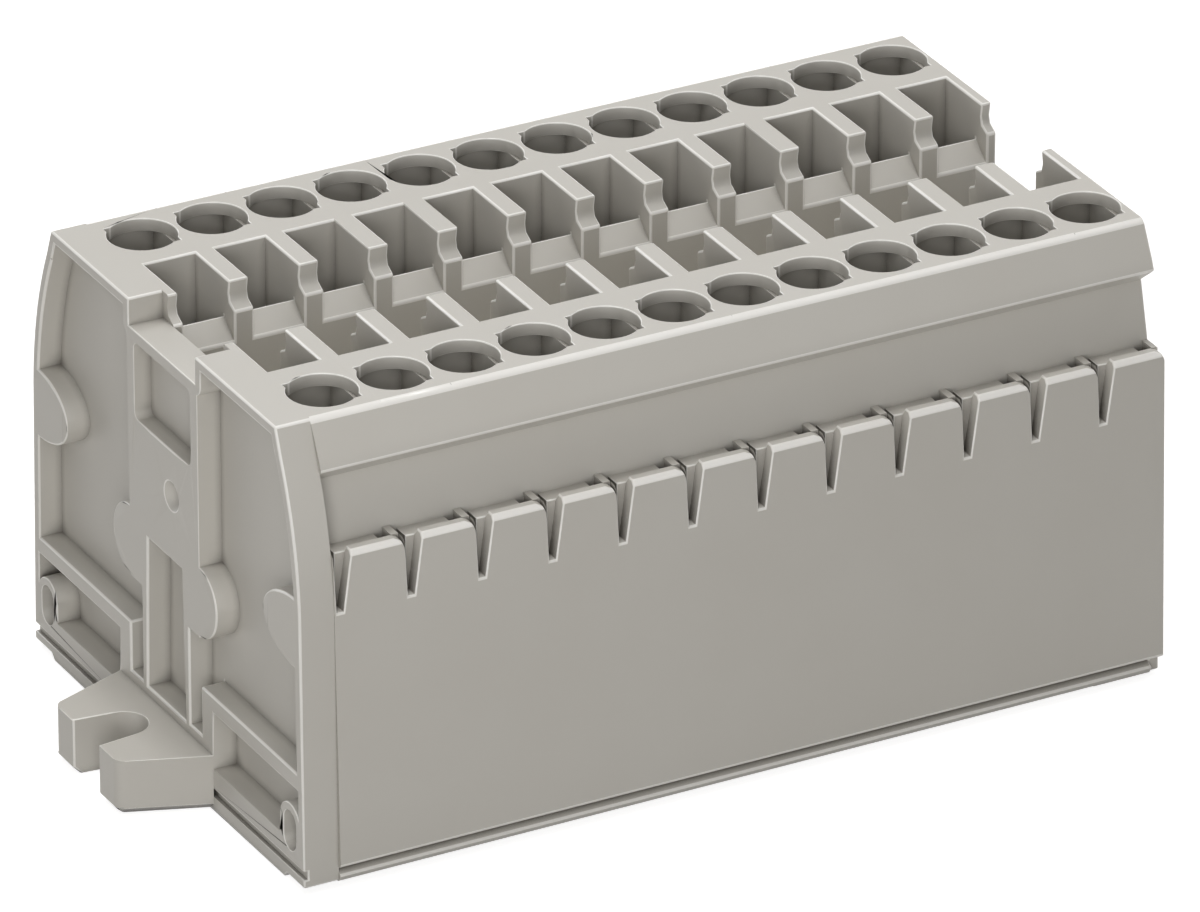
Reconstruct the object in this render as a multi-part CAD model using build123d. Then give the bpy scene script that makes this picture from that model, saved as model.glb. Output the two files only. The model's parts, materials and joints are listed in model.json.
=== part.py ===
from build123d import *
import math
import os

# Twelve-pole spring-clamp terminal strip with fixing flanges. Millimetres.
# X runs along the strip, Y from front to rear, Z up. The origin is on the mounting plane, under the middle.

# Driving dimensions of the strip
poles = 12
pitch = 5.0
height = 31.4
plate_thickness = 2.45
flange_reach = 5.75
rib_half = 0.7

# Half section of a housing slice: widths are distances from the centre plane, levels are heights
foot_half = 16.4
foot_rise = 0.3
base_half = 19.4
base_level = 0.85
groove_half = 18.9
groove_level = 1.15
skirt_foot_half = 19.45
skirt_foot_level = 1.5
skirt_top_half = 18.7
skirt_top = 23.2
skirt_inner_half = 17.85
skirt_edge = 0.3
gutter_floor = 18.4
recess_low_half = 16.7
recess_break_level = 22.8
recess_top_half = 15.65
recess_top = 27.05
cap_low_half = 17.2
cap_low_level = 28.3
cap_break_half = 16.9
cap_break_level = 29.05
cap_top_half = 15.7
cap_edge = 0.2

# Central channel, ribs, ramps and operating slots
channel_half = 3.1
channel_floor = 23.8
rib_end_half = 3.85
rib_end_dip = 0.15
rib_dip_level = 30.5
ledge_outer_level = 29.95
ledge_inner_level = 29.55
ramp_lip_level = 27.4
slot_inner_half = 4.6
ramp_top_level = 28.7
slot_outer_half = 8.6

# Conductor entries: a round mouth with two pointed notches in a thin lip, and the wider shaft under it
entry_offset = 12.5
entry_radius = 2.3
entry_lip = 0.9
entry_notch_half = 1.85
entry_notch_width = 0.8
shaft_half_length = 2.05
shaft_inner_half = 9.6
shaft_outer_half = 15.05

# Clamp chamber and the tunnel that joins the two chambers
chamber_outer_half = 15.2
chamber_floor = 8.4
chamber_top = 20.5
tunnel_top = 10.6
core_inner_half = 1.5
core_outer_half = 14.6
core_floor = 1.6
core_top = 6.6

# Notch at the left end of each skirt tab, rounded corner and web at its right end, shelf behind it
notch_top_width = 1.3
notch_floor_start = 0.2
notch_floor_end = 0.68
notch_floor = 19.15
tab_round = 0.6
tab_round_waist = 0.17
web_thickness = 0.5
shelf_level = 22.9
shelf_start = 0.5
shelf_gap = 0.65
base_stop = 0.8

# Current bar and clamp springs
bar_width = 3.4
bar_thickness = 1.0
bar_end_top = 17.5
bar_bend = 0.7
spring_width = 3.2
spring_thickness = 0.4
spring_bend = 1.6
spring_bend_level = 15.6
spring_lean = 38.0
spring_facets = 5

# End plate: outline, cored pockets, column, bosses and lower frames
plate_shoulder = (16.35, 29.65)
plate_bulge = (18.0, 24.9)
plate_waist = (18.8, 18.4)
plate_foot_half = 19.15
plate_foot_level = 0.4
plate_groove_half = 4.65
plate_groove_floor = 29.5
pocket_depth = 1.65
rim_width = 0.75
column_half = 4.9
column_low_half = 3.35
column_step_level = 11.6
window_half = 3.95
window_low = 23.3
window_top = 28.7
window_depth = 1.2
dimple_offset = -1.15
dimple_level = 20.0
dimple_radius = 1.05
dimple_floor_radius = 0.5
dimple_depth = 0.6
slot_recess_half_top = 2.4
slot_recess_half_low = 2.7
slot_recess_top = 15.4
slot_recess_low = 4.6
boss_height_half = 2.45
rim_boss_level = 18.05
rim_boss_reach = 13.8
column_boss_level = 14.2
column_boss_reach = 7.3
frame_top = 8.2
frame_bar = 1.2
leg_outer_half = 6.6
leg_inner_half = 5.0
low_pocket_floor = 3.0
eye_half = 17.2
eye_level = 3.7
eye_width = 1.7
eye_height = 2.8
eye_ring = 0.55
base_line_level = 1.3
base_line_depth = 0.3
corner_round = 0.5

# Fixing flanges
flange_top = 3.95
flange_root_half = 6.6
flange_tip_half = 4.4
fixing_width = 3.2
fixing_mouth = 4.0
fixing_bridge = 1.45
flange_tip_round = 0.8
flange_heel_bevel = 0.5

strip_length = poles * pitch + plate_thickness + 2 * flange_reach
seam = flange_reach + plate_thickness - strip_length / 2
far_end = seam + poles * pitch
big = 60.0
overrun = 1.0


def section(points, corners=()):
    """Closed outline in the Y-Z plane; each of corners is (y, z, size) of a corner with a flat at 45 degrees."""
    face = make_face(Polyline(*points, close=True))
    for y, z, size in corners:
        face = chamfer(face.vertices().sort_by_distance((y, z, 0))[0], size)
    return face


def along_x(face, start, length):
    """Carries a Y-Z outline along the strip from the place start over the given length."""
    return extrude(Plane.YZ.offset(start) * face, amount=length, dir=(1, 0, 0))


def front_and_rear(shape):
    """The shape on the rear side together with its mirror image on the front side."""
    return shape + mirror(shape, Plane.XZ)


def block(x_low, x_high, y_low, y_high, z_low, z_high):
    """A plain block between two opposite corners."""
    size = Box(x_high - x_low, y_high - y_low, z_high - z_low, align=(Align.MIN, Align.MIN, Align.MIN))
    return Pos(x_low, y_low, z_low) * size


def slice_body(left):
    """Moulded body of one slice: base, skirts, recessed walls, caps, ribs' height and central channel."""
    half = [
        (0, 0), (foot_half, 0), (foot_half + foot_rise, foot_rise), (base_half - foot_rise, foot_rise),
        (base_half, base_level), (groove_half, groove_level), (skirt_foot_half, skirt_foot_level),
        (skirt_top_half, skirt_top - skirt_edge), (skirt_top_half - skirt_edge, skirt_top),
        (skirt_inner_half, skirt_top), (skirt_inner_half, gutter_floor),
        (recess_low_half, gutter_floor), (recess_low_half, recess_break_level),
        (recess_top_half, recess_top), (cap_low_half, cap_low_level), (cap_break_half, cap_break_level),
        (cap_top_half + cap_edge / 2, height - cap_edge), (cap_top_half - cap_edge, height),
        (rib_end_half, height), (rib_end_half + rib_end_dip, rib_dip_level), (rib_end_half, ledge_outer_level),
        (channel_half, ledge_inner_level), (channel_half, channel_floor), (0, channel_floor),
    ]
    face = section(half)
    return along_x(face + mirror(face, Plane.YZ), left, pitch)


def slot_bay(left):
    """Space between two ribs: the ramp from the channel's lip and the operating slot down to the clamp."""
    above_ramp = section([
        (channel_half - overrun, ramp_lip_level), (channel_half, ramp_lip_level),
        (slot_inner_half, ramp_top_level), (slot_inner_half, chamber_floor), (slot_outer_half, chamber_floor),
        (slot_outer_half, height + overrun), (channel_half - overrun, height + overrun),
    ])
    return front_and_rear(along_x(above_ramp, left + rib_half, pitch - 2 * rib_half))


def clamp_chamber(left):
    """Chambers for the two clamps and the tunnel between them, open to the left for fitting the parts."""
    half = section([
        (0, chamber_floor), (chamber_outer_half, chamber_floor), (chamber_outer_half, chamber_top),
        (slot_inner_half, chamber_top), (slot_inner_half, tunnel_top), (0, tunnel_top),
    ])
    return along_x(half + mirror(half, Plane.YZ), left, pitch - rib_half)


def conductor_entry(left):
    """Round mouth with a notch at its left and right, and the shaft under its lip down to the clamp."""
    notch_middle = entry_notch_half - entry_notch_width / 2
    notch = Pos(-notch_middle, notch_middle) * Rectangle(entry_notch_width, entry_notch_width)
    outline = Circle(entry_radius) + notch + Rot(0, 0, 180) * notch
    mouth = extrude(outline, amount=entry_lip)
    middle = left + pitch / 2
    lip_level = height - entry_lip
    shaft = block(middle - shaft_half_length, middle + shaft_half_length, shaft_inner_half, shaft_outer_half,
                  chamber_top, lip_level)
    return front_and_rear(shaft) + Pos(middle, entry_offset, lip_level) * mouth + Pos(
        middle, -entry_offset, lip_level) * mouth


def base_cores(left):
    """Two cored spaces in the base that keep the moulded walls even."""
    core = block(left, left + pitch - rib_half, core_inner_half, core_outer_half, core_floor, core_top)
    return front_and_rear(core)


def through_skirt(outline):
    """Carries an outline in the X-Z plane through the rear skirt and the front one."""
    depth = skirt_foot_half - skirt_inner_half + overrun
    wedge = extrude(Plane.XZ * outline, amount=depth, dir=(0, -1, 0))
    return front_and_rear(Pos(0, -skirt_inner_half, 0) * wedge)


def tab_notch(left):
    """V-notch at the left end of the skirt tab: steep left side, leaning right side, flat floor."""
    return through_skirt(make_face(Polyline(
        (left, skirt_top + overrun), (left + notch_top_width, skirt_top + overrun),
        (left + notch_top_width, skirt_top), (left + notch_floor_end, notch_floor),
        (left + notch_floor_start, notch_floor), (left, skirt_top), close=True)))


def tab_corner(left):
    """What the rounding takes off the tab's upper right corner."""
    right = left + pitch
    return through_skirt(make_face(Polyline(
        (right - tab_round, skirt_top + overrun), (right, skirt_top + overrun), (right, skirt_top - tab_round),
        (right - tab_round_waist, skirt_top - tab_round_waist), (right - tab_round, skirt_top), close=True)))


def tab_backing(left):
    """Shelf that closes the gutter behind the tab, and web that joins the tab's right end to the wall."""
    inner, outer = recess_low_half - rib_half, skirt_inner_half + web_thickness / 2
    web = block(left + pitch - web_thickness, left + pitch, inner, outer, gutter_floor, skirt_top)
    shelf = block(left + shelf_start, left + pitch - web_thickness - shelf_gap, inner, outer, gutter_floor,
                  shelf_level)
    return front_and_rear(web + shelf)


def fixing_flange():
    """Foot that stands out to the left of x = 0, with an open slot for a fixing screw."""
    outline = make_face(Polyline(
        (0, -flange_root_half), (-flange_reach, -flange_tip_half), (-flange_reach, flange_tip_half),
        (0, flange_root_half), close=True))
    tips = outline.vertices().group_by(Axis.X)[0]
    outline = fillet(tips, flange_tip_round)
    closed_end = -fixing_bridge - fixing_width / 2
    slot = Pos(closed_end, 0) * Circle(fixing_width / 2) + make_face(Polyline(
        (closed_end, -fixing_width / 2), (-flange_reach - overrun, -fixing_mouth / 2),
        (-flange_reach - overrun, fixing_mouth / 2), (closed_end, fixing_width / 2), close=True))
    flange = extrude(outline - slot, amount=flange_top)
    heels = [e for e in flange.edges().group_by(Axis.Z)[0] if e.center().X < -flange_reach + flange_tip_round]
    return chamfer(heels, flange_heel_bevel)


def housing(number):
    """One slice of the strip; the last one carries the right-hand flange."""
    left = seam + (number - 1) * pitch
    body = slice_body(left) - slot_bay(left) - clamp_chamber(left) - conductor_entry(left)
    body = body - base_cores(left) + tab_backing(left) - tab_notch(left) - tab_corner(left)
    if number == poles:
        strip_end = block(far_end - base_stop, far_end + overrun, groove_half, base_half + overrun, 0,
                          groove_level)
        body = body - front_and_rear(strip_end)
        body = body + Pos(far_end, 0, 0) * mirror(fixing_flange(), Plane.YZ)
    return body


def plate_outline():
    """Outline of the end plate: sloping shoulders, bulged flanks and a groove over the channel."""
    shoulder = Line((cap_top_half, height), plate_shoulder)
    flank = ThreePointArc(plate_shoulder, plate_bulge, plate_waist)
    rest = Polyline(
        plate_waist, (plate_foot_half, plate_foot_level), (foot_half + plate_foot_level, plate_foot_level),
        (foot_half, 0), (0, 0), (0, plate_groove_floor), (plate_groove_half, plate_groove_floor),
        (plate_groove_half, height), (cap_top_half, height))
    half = make_face(shoulder + flank + rest)
    return half + mirror(half, Plane.YZ)


def ellipse_boss(middle_half, level, reach):
    """Half-round boss seen from the end, standing out from middle_half as far as reach."""
    return Pos(middle_half, level) * Ellipse(abs(reach - middle_half), boss_height_half)


def rounded_slot(width, length):
    """Upright slot outline with round ends, at the place of the eye in the lower corner."""
    straight = Rectangle(width, length - width)
    ends = Pos(0, (length - width) / 2) * Circle(width / 2) + Pos(0, (width - length) / 2) * Circle(width / 2)
    return Pos(eye_half, eye_level) * (straight + ends)


def plate_pockets():
    """Rear pockets of the end plate's left face, as outlines: the large one, the lower frame's and the eye."""
    inside = offset(plate_outline(), -rim_width)
    upper = inside & make_face(Polyline(
        (column_half, frame_top), (big, frame_top), (big, height), (column_half, height), close=True))
    neck = make_face(Polyline(
        (column_low_half, flange_top + rim_width), (leg_inner_half, flange_top + rim_width),
        (leg_inner_half, frame_top), (leg_outer_half, frame_top), (column_half, column_step_level),
        (column_low_half, column_step_level), close=True))
    upper = upper + neck
    upper = upper - ellipse_boss(plate_waist[0] - rim_width, rim_boss_level, rim_boss_reach)
    upper = upper - ellipse_boss(column_half, column_boss_level, column_boss_reach)
    outer_half = plate_foot_half - rim_width
    lower = make_face(Polyline(
        (leg_outer_half, low_pocket_floor), (outer_half, low_pocket_floor),
        (outer_half, frame_top - frame_bar), (leg_outer_half, frame_top - frame_bar), close=True))
    lower = lower - rounded_slot(eye_width + 2 * eye_ring, eye_height + 2 * eye_ring)
    return upper, lower, rounded_slot(eye_width, eye_height)


def end_plate():
    """Cored end plate that closes the strip on the left, moulded in one piece with its flange."""
    left = seam - plate_thickness
    plate = along_x(plate_outline(), left, plate_thickness)
    upper, lower, eye = plate_pockets()
    plate = plate - front_and_rear(along_x(upper, left, pocket_depth))
    plate = plate - front_and_rear(along_x(lower, left, pocket_depth))
    plate = plate - front_and_rear(along_x(eye, left, pocket_depth))
    window = section([(-window_half, window_low), (window_half, window_low), (window_half, window_top),
                      (-window_half, window_top)])
    window = fillet(window.vertices(), corner_round)
    plate = plate - along_x(window, left, window_depth)
    recess = section([(-slot_recess_half_low, slot_recess_low), (slot_recess_half_low, slot_recess_low),
                      (slot_recess_half_top, slot_recess_top), (-slot_recess_half_top, slot_recess_top)])
    plate = plate - along_x(recess, left, pocket_depth)
    dimple = Cone(dimple_radius, dimple_floor_radius, dimple_depth, align=(Align.CENTER, Align.CENTER, Align.MIN))
    plate = plate - Pos(left, dimple_offset, dimple_level) * Rot(0, 90, 0) * dimple
    groove = section([(-big, base_line_level - base_line_depth), (big, base_line_level - base_line_depth),
                      (big, base_line_level + base_line_depth), (-big, base_line_level + base_line_depth)])
    plate = plate - along_x(groove, left, base_line_depth)
    return plate + Pos(left, 0, 0) * fixing_flange()


def current_bar(number):
    """Copper bar that joins the front and rear clamps of a pole, with its contact ends turned up."""
    left = seam + (number - 1) * pitch
    outer, inner = chamber_outer_half, chamber_outer_half - bar_thickness
    low, high = chamber_floor, chamber_floor + bar_thickness
    strip = section(
        [(-outer, bar_end_top), (-outer, low), (outer, low), (outer, bar_end_top), (inner, bar_end_top),
         (inner, high), (-inner, high), (-inner, bar_end_top)],
        [(-outer, low, bar_bend), (outer, low, bar_bend)])
    return along_x(strip, left + (pitch - bar_width) / 2, bar_width)


def clamp_spring(number):
    """Rear clamp spring: it stands on the bar, bends round in even facets and leans on the bar's end."""
    left = seam + (number - 1) * pitch
    lean = math.radians(spring_lean)
    outer = spring_bend + spring_thickness / 2
    inner = spring_bend - spring_thickness / 2
    middle = slot_inner_half + outer
    foot = chamber_floor + bar_thickness
    across = chamber_outer_half - bar_thickness - middle - outer * math.sin(lean)
    turn = (math.pi / 2 + lean) / spring_facets

    def face_of_strip(radius):
        bend = [(middle + radius * math.cos(math.pi - k * turn),
                 spring_bend_level + radius * math.sin(math.pi - k * turn)) for k in range(spring_facets + 1)]
        y, z = bend[-1]
        return [(middle - radius, foot)] + bend + [(y + across, z - across * math.tan(lean))]

    strip = section(face_of_strip(outer) + face_of_strip(inner)[::-1])
    return along_x(strip, left + (pitch - spring_width) / 2, spring_width)


def build_all():
    """Every piece of the strip under its own name."""
    pieces = {"end_plate": end_plate()}
    for number in range(1, poles + 1):
        rear = clamp_spring(number)
        pieces["housing_%02d" % number] = housing(number)
        pieces["current_bar_%02d" % number] = current_bar(number)
        pieces["clamp_spring_rear_%02d" % number] = rear
        pieces["clamp_spring_front_%02d" % number] = mirror(rear, Plane.XZ)
    return pieces


os.makedirs("parts", exist_ok=True)
for name, piece in build_all().items():
    export_step(piece, "parts/" + name + ".step")
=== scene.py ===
"""Looks of a twelve-pole spring-clamp strip: moulded slices, end plate, clamp parts, studio and camera."""

from __future__ import annotations

import json
import logging
import math
from dataclasses import dataclass, field
from enum import Enum

import bmesh
import bpy
import numpy as np
from mathutils import Matrix, Vector

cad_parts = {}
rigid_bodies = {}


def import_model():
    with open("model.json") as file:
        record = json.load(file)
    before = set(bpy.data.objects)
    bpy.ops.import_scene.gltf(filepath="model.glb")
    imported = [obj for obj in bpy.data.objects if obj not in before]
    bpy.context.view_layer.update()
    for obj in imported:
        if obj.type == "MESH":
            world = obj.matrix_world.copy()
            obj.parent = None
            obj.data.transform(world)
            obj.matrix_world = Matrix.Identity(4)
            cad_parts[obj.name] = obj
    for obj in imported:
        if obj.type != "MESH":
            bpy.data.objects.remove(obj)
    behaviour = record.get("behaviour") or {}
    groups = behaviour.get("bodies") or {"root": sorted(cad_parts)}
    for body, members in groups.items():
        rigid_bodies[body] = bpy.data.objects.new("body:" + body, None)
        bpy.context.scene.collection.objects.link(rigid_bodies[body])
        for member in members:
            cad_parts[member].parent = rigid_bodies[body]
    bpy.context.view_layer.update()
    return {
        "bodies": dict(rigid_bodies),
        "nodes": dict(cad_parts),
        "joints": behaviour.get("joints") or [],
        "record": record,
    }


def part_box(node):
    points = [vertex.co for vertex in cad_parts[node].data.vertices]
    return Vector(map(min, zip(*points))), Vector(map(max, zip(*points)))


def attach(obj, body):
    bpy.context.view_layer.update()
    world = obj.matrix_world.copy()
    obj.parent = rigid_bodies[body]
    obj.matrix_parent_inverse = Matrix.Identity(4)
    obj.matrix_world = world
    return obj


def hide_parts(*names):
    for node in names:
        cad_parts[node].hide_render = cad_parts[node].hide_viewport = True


LOG = logging.getLogger("terminal_strip")
MM = 0.001
STRIP_BODY = "root"
# Places of a colour Mix node's sockets, which share their names with those for other kinds of value.
MIX_FACTOR, MIX_A, MIX_B, MIX_RESULT = 0, 6, 7, 2
# Places of a moulding's two materials: that of its faces, and that of its edges, which is lighter as a painted
# highlight.
FACE_INDEX, EDGE_HIGHLIGHT_INDEX = 0, 1


class Slot(Enum):
    """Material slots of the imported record."""

    HOUSING = "housing"
    BAR = "current_bar"
    SPRING = "clamp_spring"


def linear(hex_colour: str) -> tuple[float, float, float, float]:
    """Turns an sRGB hex colour into a linear one.

    Args:
        hex_colour: six hex digits, such as "c8c4bc".

    Returns:
        Red, green and blue in linear light, and an alpha of 1.
    """
    parts = [int(hex_colour[i:i + 2], 16) / 255 for i in (0, 2, 4)]
    light = [p / 12.92 if p <= 0.04045 else ((p + 0.055) / 1.055) ** 2.4 for p in parts]
    return light[0], light[1], light[2], 1.0


def add_node(tree: bpy.types.NodeTree, kind: str, settings: dict | None = None,
             links: dict | None = None) -> bpy.types.Node:
    """Adds one node to a tree.

    Args:
        tree: the material's or world's node tree.
        kind: the node's type name.
        settings: socket names or numbers with values, and node attributes with a leading dot.
        links: input socket names or numbers, each with the output socket that feeds it.

    Returns:
        The new node.
    """
    node = tree.nodes.new(kind)
    for key, value in (settings or {}).items():
        if isinstance(key, str) and key.startswith("."):
            setattr(node, key[1:], value)
        else:
            node.inputs[key].default_value = value
    for key, source in (links or {}).items():
        tree.links.new(source, node.inputs[key])
    return node


def new_material(name: str) -> tuple[bpy.types.Material, bpy.types.NodeTree]:
    """Makes an empty node material.

    Args:
        name: the finish's plain name.

    Returns:
        The material and its cleared node tree.
    """
    material = bpy.data.materials.new(name)
    material.use_nodes = True
    material.node_tree.nodes.clear()
    return material, material.node_tree


@dataclass(frozen=True)
class MouldedPolyamide:
    """Injection-moulded polyamide with a finely eroded tool finish: satin, faintly grained, uneven grey.

    Lengths are in millimetres. The real grain is about 0.05 mm, and is drawn coarser here so that it shows.
    """

    name: str = "moulded_polyamide"
    colour: str = "c8c5be"
    colour_shade: str = "c3bfb7"
    # Painted shade: the next four settings darken narrow recesses and inner corners by ambient occlusion, giving
    # the dark colour, its reach and its fade.
    painted_shade_colour: str = "5e5952"
    painted_shade_width: float = 1.2
    closed: float = 0.2
    open: float = 0.62
    roughness: float = 0.47
    roughness_spread: float = 0.05
    grain: float = 0.16
    grain_height: float = 0.004
    grain_strength: float = 0.35
    flow_size: float = 9.0
    refraction: float = 1.53

    def build(self) -> bpy.types.Material:
        """Colour drifts slowly and is darkened in narrow recesses and inner corners as painted shade; a fine
        grain breaks up the gloss.

        Returns:
            The finished material.
        """
        material, tree = new_material(self.name)
        place = add_node(tree, "ShaderNodeTexCoord").outputs["Object"]
        flow = add_node(tree, "ShaderNodeTexNoise", {"Scale": 1 / (self.flow_size * MM), "Detail": 2.0},
                        {"Vector": place})
        grain = add_node(tree, "ShaderNodeTexNoise", {"Scale": 1 / (self.grain * MM), "Detail": 3.0},
                         {"Vector": place})
        colour = add_node(tree, "ShaderNodeMix",
                          {".data_type": "RGBA", MIX_A: linear(self.colour), MIX_B: linear(self.colour_shade)},
                          {MIX_FACTOR: flow.outputs["Fac"]})
        # Ambient occlusion paints shade into narrow recesses, inner corners and the gaps between slices.
        recess = add_node(tree, "ShaderNodeAmbientOcclusion",
                          {".samples": 4, ".only_local": False, "Distance": self.painted_shade_width * MM})
        openness = add_node(tree, "ShaderNodeMapRange", {"From Min": self.closed, "From Max": self.open},
                            {"Value": recess.outputs["AO"]})
        shaded = add_node(tree, "ShaderNodeMix", {".data_type": "RGBA", MIX_A: linear(self.painted_shade_colour)},
                          {MIX_FACTOR: openness.outputs["Result"], MIX_B: colour.outputs[MIX_RESULT]})
        rough = add_node(tree, "ShaderNodeMapRange", {"To Min": self.roughness - self.roughness_spread,
                                                      "To Max": self.roughness + self.roughness_spread},
                         {"Value": grain.outputs["Fac"]})
        bump = add_node(tree, "ShaderNodeBump",
                        {"Strength": self.grain_strength, "Distance": self.grain_height * MM},
                        {"Height": grain.outputs["Fac"]})
        shader = add_node(tree, "ShaderNodeBsdfPrincipled", {"IOR": self.refraction},
                          {"Base Color": shaded.outputs[MIX_RESULT], "Roughness": rough.outputs["Result"],
                           "Normal": bump.outputs["Normal"]})
        add_node(tree, "ShaderNodeOutputMaterial", links={"Surface": shader.outputs["BSDF"]})
        return material


# The texture in the mould stops short of its edges, so these come out smoother; their lighter colour is a
# painted highlight along the rounded edges and chamfers.
PAINTED_HIGHLIGHT_EDGE_FINISH = MouldedPolyamide(name="polyamide_edge_painted_highlight", colour="eeece7", colour_shade="e9e6e0", roughness=0.3,
                               grain_height=0.001)


@dataclass(frozen=True)
class RolledMetal:
    """Rolled strip metal with fine draw lines along its length: tinned copper or spring steel.

    Lengths are in millimetres. The lines give the gloss a streak that runs with the strip.
    """

    name: str
    colour: str
    roughness: float
    roughness_spread: float = 0.08
    line_width: float = 0.12
    line_depth: float = 0.004
    line_strength: float = 0.2
    stretch: float = 0.04

    def build(self) -> bpy.types.Material:
        """Draw lines run along Y, so the noise is stretched there and only varies across the strip.

        Returns:
            The finished material.
        """
        material, tree = new_material(self.name)
        place = add_node(tree, "ShaderNodeTexCoord").outputs["Object"]
        across = add_node(tree, "ShaderNodeMapping", {"Scale": (1.0, self.stretch, self.stretch)},
                          {"Vector": place})
        lines = add_node(tree, "ShaderNodeTexNoise", {"Scale": 1 / (self.line_width * MM), "Detail": 2.0},
                         {"Vector": across.outputs["Vector"]})
        rough = add_node(tree, "ShaderNodeMapRange", {"To Min": self.roughness - self.roughness_spread,
                                                      "To Max": self.roughness + self.roughness_spread},
                         {"Value": lines.outputs["Fac"]})
        bump = add_node(tree, "ShaderNodeBump",
                        {"Strength": self.line_strength, "Distance": self.line_depth * MM},
                        {"Height": lines.outputs["Fac"]})
        shader = add_node(tree, "ShaderNodeBsdfPrincipled",
                          {"Base Color": linear(self.colour), "Metallic": 1.0},
                          {"Roughness": rough.outputs["Result"], "Normal": bump.outputs["Normal"]})
        add_node(tree, "ShaderNodeOutputMaterial", links={"Surface": shader.outputs["BSDF"]})
        return material


@dataclass(frozen=True)
class Hollow:
    """The closed space for the clamps in a slice, whose edges stay as moulded: sizes in millimetres."""

    half_width: float = 15.9
    low: float = 1.0
    high: float = 20.6
    end: float = 0.1

    def holds(self, edge: bmesh.types.BMEdge, right: float) -> bool:
        """Whether an edge lies in the hollow of a slice whose right face is at the given X, in metres."""
        return all(abs(v.co.y) < self.half_width * MM and self.low * MM < v.co.z < self.high * MM
                   and v.co.x < right - self.end * MM for v in edge.verts)


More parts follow.
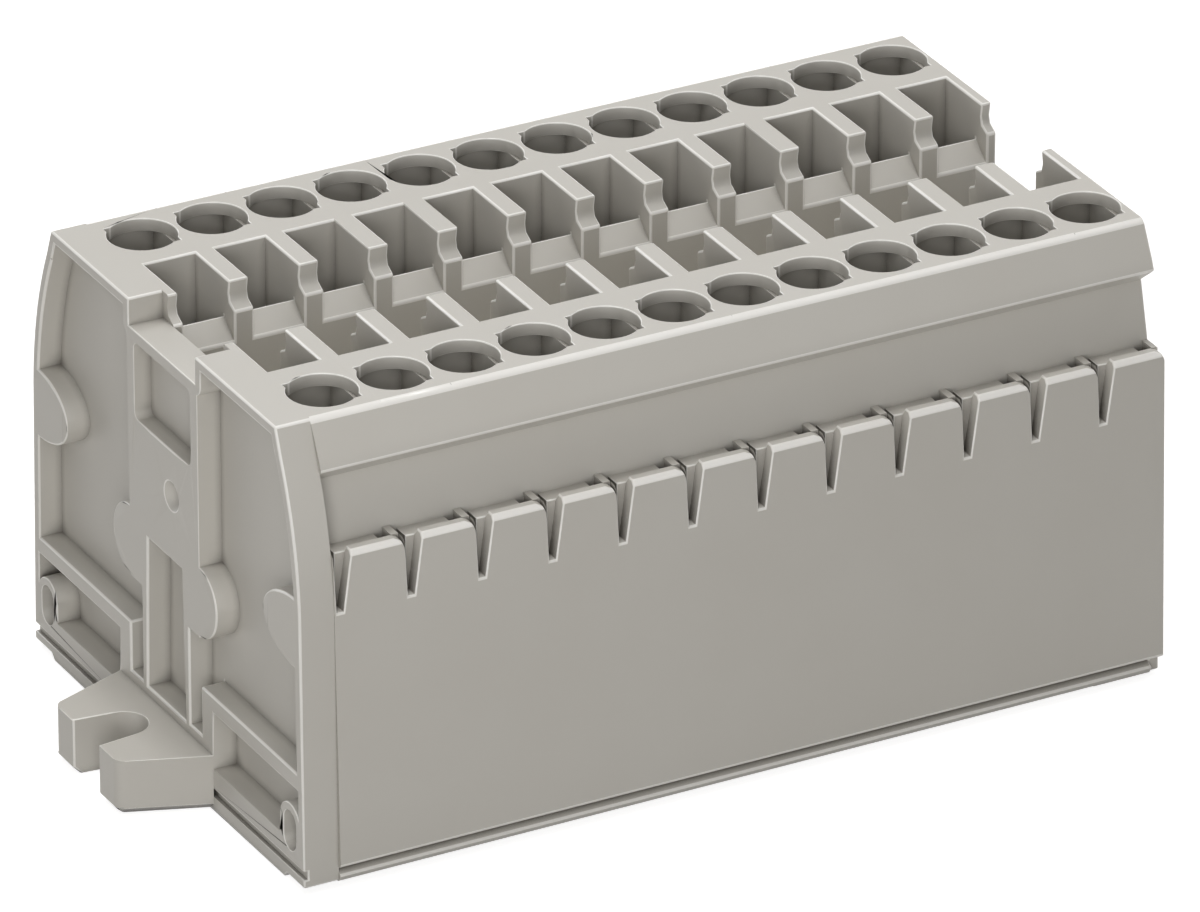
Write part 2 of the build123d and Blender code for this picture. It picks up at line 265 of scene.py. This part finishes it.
@dataclass
class EdgeSoftener:
    """Rounds the outer edges of a moulding, by as much as the faces beside each edge leave room for.

    Lengths are in millimetres and angles in degrees. `share` is how much of that room a rounding takes, and
    `end_on` and `slant` are limits for a direction's share along one axis.
    """

    radius: float = 0.15
    segments: int = 2
    share: float = 0.33
    least: float = 0.02
    in_line: float = 0.2
    merge: float = 0.002
    sharp_angle: float = 24.0
    crease_angle: float = 50.0
    flat_angle: float = 0.5
    end_on: float = 0.999
    slant: float = 0.95
    chamfer_width: float = 0.45
    chamfer_length: float = 2.0
    hollow: Hollow | None = None

    def copy_of(self, node: bpy.types.Object, name: str, finishes: tuple[bpy.types.Material, ...],
                butted: tuple[float, ...], right: float = 0.0) -> bpy.types.Object:
        """Makes a merged copy of a node whose sharp edges get a real bevel.

        Args:
            node: the moulding's own object.
            name: the copy's name.
            finishes: the material of its faces and that of its edges, which is lighter as a painted highlight.
            butted: places along X, in metres, where the moulding's end face lies against its neighbour.
            right: where the hollow's right wall ends along X, in metres.

        Returns:
            The copy, rounded, with its flats' normals left to a modifier.
        """
        mesh = bpy.data.meshes.new(name)
        for finish in finishes:
            mesh.materials.append(finish)
        work = bmesh.new()
        work.from_mesh(node.data)
        bmesh.ops.remove_doubles(work, verts=work.verts, dist=self.merge * MM)
        self.join_flats(work)
        layer = work.edges.layers.float.new("bevel_weight_edge")
        for edge in work.edges:
            sunk = self.hollow is not None and self.hollow.holds(edge, right)
            edge[layer] = 0.0 if sunk or self.is_butted(edge, butted) else self.weight(edge)
        for face in work.faces:
            face.smooth = True
            # Chamfers take the lighter edge material: a painted highlight.
            face.material_index = EDGE_HIGHLIGHT_INDEX if self.is_chamfer(face) else FACE_INDEX
        work.to_mesh(mesh)
        work.free()
        piece = bpy.data.objects.new(name, mesh)
        bpy.context.scene.collection.objects.link(piece)
        bevel = piece.modifiers.new("edges", "BEVEL")
        # The bevel's rounded faces take the lighter edge material: a painted highlight.
        bevel.material = EDGE_HIGHLIGHT_INDEX
        bevel.limit_method = "WEIGHT"
        bevel.width = self.radius * MM
        bevel.segments = self.segments
        bevel.use_clamp_overlap = False
        rounded = piece.evaluated_get(bpy.context.evaluated_depsgraph_get())
        piece.data = bpy.data.meshes.new_from_object(rounded)
        piece.modifiers.clear()
        self.mark_creases(piece.data)
        flats = piece.modifiers.new("flats", "WEIGHTED_NORMAL")
        flats.keep_sharp = True
        return piece

    def mark_creases(self, mesh: bpy.types.Mesh) -> None:
        """Keeps the shading crisp at inner corners and at edges too small to be rounded.

        Args:
            mesh: the moulding with its rounded edges.
        """
        work = bmesh.new()
        work.from_mesh(mesh)
        for edge in work.edges:
            edge.smooth = edge.calc_face_angle(math.pi) < math.radians(self.crease_angle)
        work.to_mesh(mesh)
        work.free()

    def join_flats(self, work: bmesh.types.BMesh) -> None:
        """Joins the triangles of each flat, but only evens them out in the end faces, whose holes need them.

        Args:
            work: the merged moulding.
        """
        ends = {face for face in work.faces if abs(face.normal.x) > self.end_on}
        inside = {edge for edge in work.edges if ends.issuperset(edge.link_faces)}
        others = [edge for edge in work.edges if edge not in inside]
        bmesh.ops.dissolve_limit(work, angle_limit=math.radians(self.flat_angle), verts=[], edges=others)
        ends = [face for face in work.faces if abs(face.normal.x) > self.end_on]
        known = set(ends)
        inside = [edge for edge in work.edges if known.issuperset(edge.link_faces)]
        bmesh.ops.beautify_fill(work, faces=ends, edges=inside, use_restrict_tag=False, method="AREA")

    def is_chamfer(self, face: bmesh.types.BMFace) -> bool:
        """Tells whether a face is a narrow slanted flat along the strip, which has the edges' finish with its
        painted highlight.

        Args:
            face: a face of the merged moulding.

        Returns:
            True for a face that breaks an edge, as the skirt's top does.
        """
        longest = max(face.edges, key=lambda edge: edge.calc_length())
        length = longest.calc_length()
        along_strip = abs(longest.verts[0].co.x - longest.verts[1].co.x) > self.end_on * length
        slanted = max(abs(value) for value in face.normal) < self.slant
        narrow = face.calc_area() < length * self.chamfer_width * MM
        return along_strip and slanted and narrow and length > self.chamfer_length * MM

    def is_butted(self, edge: bmesh.types.BMEdge, butted: tuple[float, ...]) -> bool:
        """Whether an edge lies in a face that is pressed against the neighbouring moulding."""
        return any(all(abs(v.co.x - place) < self.least * MM for v in edge.verts) for place in butted)

    def weight(self, edge: bmesh.types.BMEdge) -> float:
        """Share of the full rounding that an edge can take.

        Args:
            edge: an edge of the merged moulding.

        Returns:
            0 on a flat or inner edge, 1 where the faces on both sides leave room for the whole radius.
        """
        if len(edge.link_faces) != 2 or not edge.is_convex:
            return 0.0
        if edge.calc_face_angle() < math.radians(self.sharp_angle):
            return 0.0
        start = np.array(edge.verts[0].co)
        along = np.array(edge.verts[1].co) - start
        length = float(np.linalg.norm(along))
        if length < self.least * MM:
            return 0.0
        along /= length
        corners = [v.co[:] for face in edge.link_faces for v in face.verts]
        corners += [other.other_vert(end).co[:] for end in edge.verts for other in end.link_edges]
        corners = np.array(corners) - start
        reach = corners @ along
        off = np.linalg.norm(corners - np.outer(reach, along), axis=1)
        past = np.maximum(0.0, np.maximum(-reach, reach - length))
        beside = off > np.maximum(self.least * MM, self.in_line * past)
        room = min(length, float(off[beside].min())) if beside.any() else length
        size = min(1.0, room * self.share / (self.radius * MM))
        return size if size * self.radius > self.least else 0.0


@dataclass
class HousingSlices:
    """The twelve moulded slices, the last with its fixing flange."""

    poles: int = 12
    pitch: float = 5.0
    softener: EdgeSoftener = field(default_factory=lambda: EdgeSoftener(hollow=Hollow()))

    def build(self, frame: dict, finishes: tuple[bpy.types.Material, ...]) -> list[bpy.types.Object]:
        """Replaces each slice by its copy with rounded edges.

        Args:
            frame: the loaded frame.
            finishes: the moulded polyamide, on its faces and, lighter as a painted highlight, on its edges.

        Returns:
            The dressed slices.
        """
        made = []
        for number in range(1, self.poles + 1):
            node = f"housing_{number:02d}"
            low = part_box(node)[0]
            right = low.x + self.pitch * MM
            butted = (low.x,) if number == self.poles else (low.x, right)
            piece = self.softener.copy_of(frame["nodes"][node], f"slice_{number:02d}", finishes, butted, right)
            made.append(stand_for(piece, node))
        return made


@dataclass
class EndPlate:
    """The cored end plate with the left fixing flange."""

    softener: EdgeSoftener = field(default_factory=EdgeSoftener)

    def build(self, frame: dict, finishes: tuple[bpy.types.Material, ...]) -> list[bpy.types.Object]:
        """Replaces the end plate by its copy with rounded edges.

        Args:
            frame: the loaded frame.
            finishes: the moulded polyamide, on its faces and, lighter as a painted highlight, on its edges.

        Returns:
            The dressed plate, in a list.
        """
        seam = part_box("end_plate")[1].x
        piece = self.softener.copy_of(frame["nodes"]["end_plate"], "plate_left", finishes, (seam,))
        return [stand_for(piece, "end_plate")]


@dataclass
class ClampWorks:
    """Current bars and clamp springs inside the slices, shown as the frame gives them.

    A node's name starts with the name of its slot.
    """

    bar_finish: RolledMetal = field(default_factory=lambda: RolledMetal("tinned_copper", "cfccc4", 0.34))
    spring_finish: RolledMetal = field(default_factory=lambda: RolledMetal("spring_steel", "b4b5b6", 0.3))

    def build(self, frame: dict) -> list[bpy.types.Object]:
        """Gives the bars and springs their metals.

        Args:
            frame: the loaded frame.

        Returns:
            The bars and springs.
        """
        finishes = {Slot.BAR: self.bar_finish.build(), Slot.SPRING: self.spring_finish.build()}
        made = []
        for name, node in sorted(frame["nodes"].items()):
            for slot, finish in finishes.items():
                if name.startswith(slot.value):
                    node.data.materials.clear()
                    node.data.materials.append(finish)
                    made.append(node)
        return made


def stand_for(piece: bpy.types.Object, node: str) -> bpy.types.Object:
    """Gives a piece its body and the node that it stands for.

    Args:
        piece: the finished mesh object.
        node: the frame's node that it replaces.

    Returns:
        The same piece.
    """
    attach(piece, STRIP_BODY)
    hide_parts(node)
    return piece


@dataclass(frozen=True)
class Lamp:
    """A soft square lamp: power in watts, side and distance in metres, direction from the strip towards it."""

    name: str
    power: float
    size: float
    direction: tuple[float, float, float]
    distance: float = 0.7

    def hang(self) -> None:
        """Hangs the lamp so that it looks at the strip."""
        data = bpy.data.lights.new(self.name, "AREA")
        data.energy = self.power
        data.size = self.size
        lamp = bpy.data.objects.new(self.name, data)
        bpy.context.scene.collection.objects.link(lamp)
        towards = Vector(self.direction).normalized()
        lamp.location = towards * self.distance
        lamp.rotation_euler = towards.to_track_quat("Z", "Y").to_euler()


@dataclass
class Studio:
    """Plain pale floor, white surroundings and soft lamps; lengths in metres."""

    white: str = "ffffff"
    floor_size: float = 4.0
    floor_gap: float = 0.00005
    floor_colour: str = "b8b6b3"
    world_strength: float = 0.01
    floor_glow: float = 0.85
    lamps: tuple[Lamp, ...] = (Lamp("overhead", 1.5, 0.12, (0.0, 0.03, 1.0)),
                               Lamp("rear_high", 1.25, 0.3, (0.1, 0.5, 1.0)),
                               Lamp("right_high", 0.55, 0.3, (0.8, 0.0, 1.0)),
                               Lamp("left_high", 0.35, 0.3, (-0.8, 0.0, 1.0)),
                               Lamp("front_left_high", 0.09, 0.14, (-0.45, -0.8, 0.8), 0.28),
                               Lamp("front_left_low", 0.4, 0.15, (-0.7, -1.0, 0.35), 0.35),
                               Lamp("rear_low", 0.9, 0.3, (-0.2, 1.0, 0.25)),
                               Lamp("right_low", 0.55, 0.3, (1.0, 0.1, 0.25)))

    def white_for_camera(self, tree: bpy.types.NodeTree, surface: bpy.types.NodeSocket,
                         bright: bpy.types.NodeSocket) -> bpy.types.NodeSocket:
        """Mixes a surface with plain white for camera, glossy and transmission rays.

        Args:
            tree: the node tree.
            surface: what other rays meet.
            bright: what those three kinds of ray meet.

        Returns:
            The mixed shader's output.
        """
        path = add_node(tree, "ShaderNodeLightPath")
        first = add_node(tree, "ShaderNodeMath", {".operation": "MAXIMUM"},
                         {0: path.outputs["Is Camera Ray"], 1: path.outputs["Is Glossy Ray"]})
        seen = add_node(tree, "ShaderNodeMath", {".operation": "MAXIMUM"},
                        {0: first.outputs[0], 1: path.outputs["Is Transmission Ray"]})
        mix = add_node(tree, "ShaderNodeMixShader", links={0: seen.outputs[0], 1: surface, 2: bright})
        return mix.outputs[0]

    def build(self) -> None:
        """Makes the floor, the world and the lamps."""
        world = bpy.data.worlds.new("studio")
        bpy.context.scene.world = world
        world.use_nodes = True
        tree = world.node_tree
        tree.nodes.clear()
        lit, white = (add_node(tree, "ShaderNodeBackground", {"Color": linear(self.white), "Strength": strength})
                      for strength in (self.world_strength, 1.0))
        mixed = self.white_for_camera(tree, lit.outputs[0], white.outputs[0])
        add_node(tree, "ShaderNodeOutputWorld", links={"Surface": mixed})
        self.floor()
        for lamp in self.lamps:
            lamp.hang()

    def floor(self) -> None:
        """Lays the pale floor just under the strip's feet."""
        half = self.floor_size / 2
        mesh = bpy.data.meshes.new("floor")
        sides = ((-half, -half), (half, -half), (half, half), (-half, half))
        corners = [(x, y, -self.floor_gap) for x, y in sides]
        mesh.from_pydata(corners, [], [(0, 1, 2, 3)])
        floor = bpy.data.objects.new("floor", mesh)
        bpy.context.scene.collection.objects.link(floor)
        material, tree = new_material("pale_floor")
        matt = add_node(tree, "ShaderNodeBsdfDiffuse", {"Color": linear(self.floor_colour)})
        glow = add_node(tree, "ShaderNodeEmission", {"Color": linear(self.white), "Strength": self.floor_glow})
        both = add_node(tree, "ShaderNodeAddShader", links={0: matt.outputs[0], 1: glow.outputs[0]})
        mixed = self.white_for_camera(tree, matt.outputs[0], both.outputs[0])
        add_node(tree, "ShaderNodeOutputMaterial", links={"Surface": mixed})
        mesh.materials.append(material)


@dataclass
class Camera:
    """The view from the front left, a long lens from above; angles in degrees, lengths in millimetres."""

    azimuth: float = 28.4703
    elevation: float = 27.0908
    roll: float = 0.1296
    target: tuple[float, float, float] = (-7.12, -13.50, 22.60)
    distance: float = 802.73
    lens: float = 381.46

    def build(self) -> None:
        """Sets the camera up, with its axes worked out from the three angles."""
        turn, tilt, roll = (math.radians(v) for v in (self.azimuth, self.elevation, self.roll))
        ahead = Vector((math.sin(turn) * math.cos(tilt), math.cos(turn) * math.cos(tilt), -math.sin(tilt)))
        right = Vector((math.cos(turn), -math.sin(turn), 0.0))
        above = right.cross(ahead)
        across = math.cos(roll) * right + math.sin(roll) * above
        upward = -math.sin(roll) * right + math.cos(roll) * above
        data = bpy.data.cameras.new("camera")
        data.lens = self.lens
        data.clip_start = 0.01
        data.clip_end = 20.0
        camera = bpy.data.objects.new("camera", data)
        bpy.context.scene.collection.objects.link(camera)
        place = (Vector(self.target) - ahead * self.distance) * MM
        camera.matrix_world = Matrix.Translation(place) @ Matrix((across, upward, -ahead)).transposed().to_4x4()
        bpy.context.scene.camera = camera


def main() -> None:
    """Builds the looks in order and reports each piece."""
    logging.basicConfig(level=logging.INFO, format="%(message)s")
    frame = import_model()
    bpy.context.scene.view_settings.view_transform = "Standard"
    polyamide = (MouldedPolyamide().build(), PAINTED_HIGHLIGHT_EDGE_FINISH.build())
    made = HousingSlices().build(frame, polyamide)
    made += EndPlate().build(frame, polyamide)
    made += ClampWorks().build(frame)
    for piece in made:
        LOG.info("%s: %d vertices", piece.name, len(piece.data.vertices))
    Studio().build()
    Camera().build()


if __name__ == "__main__":
    main()
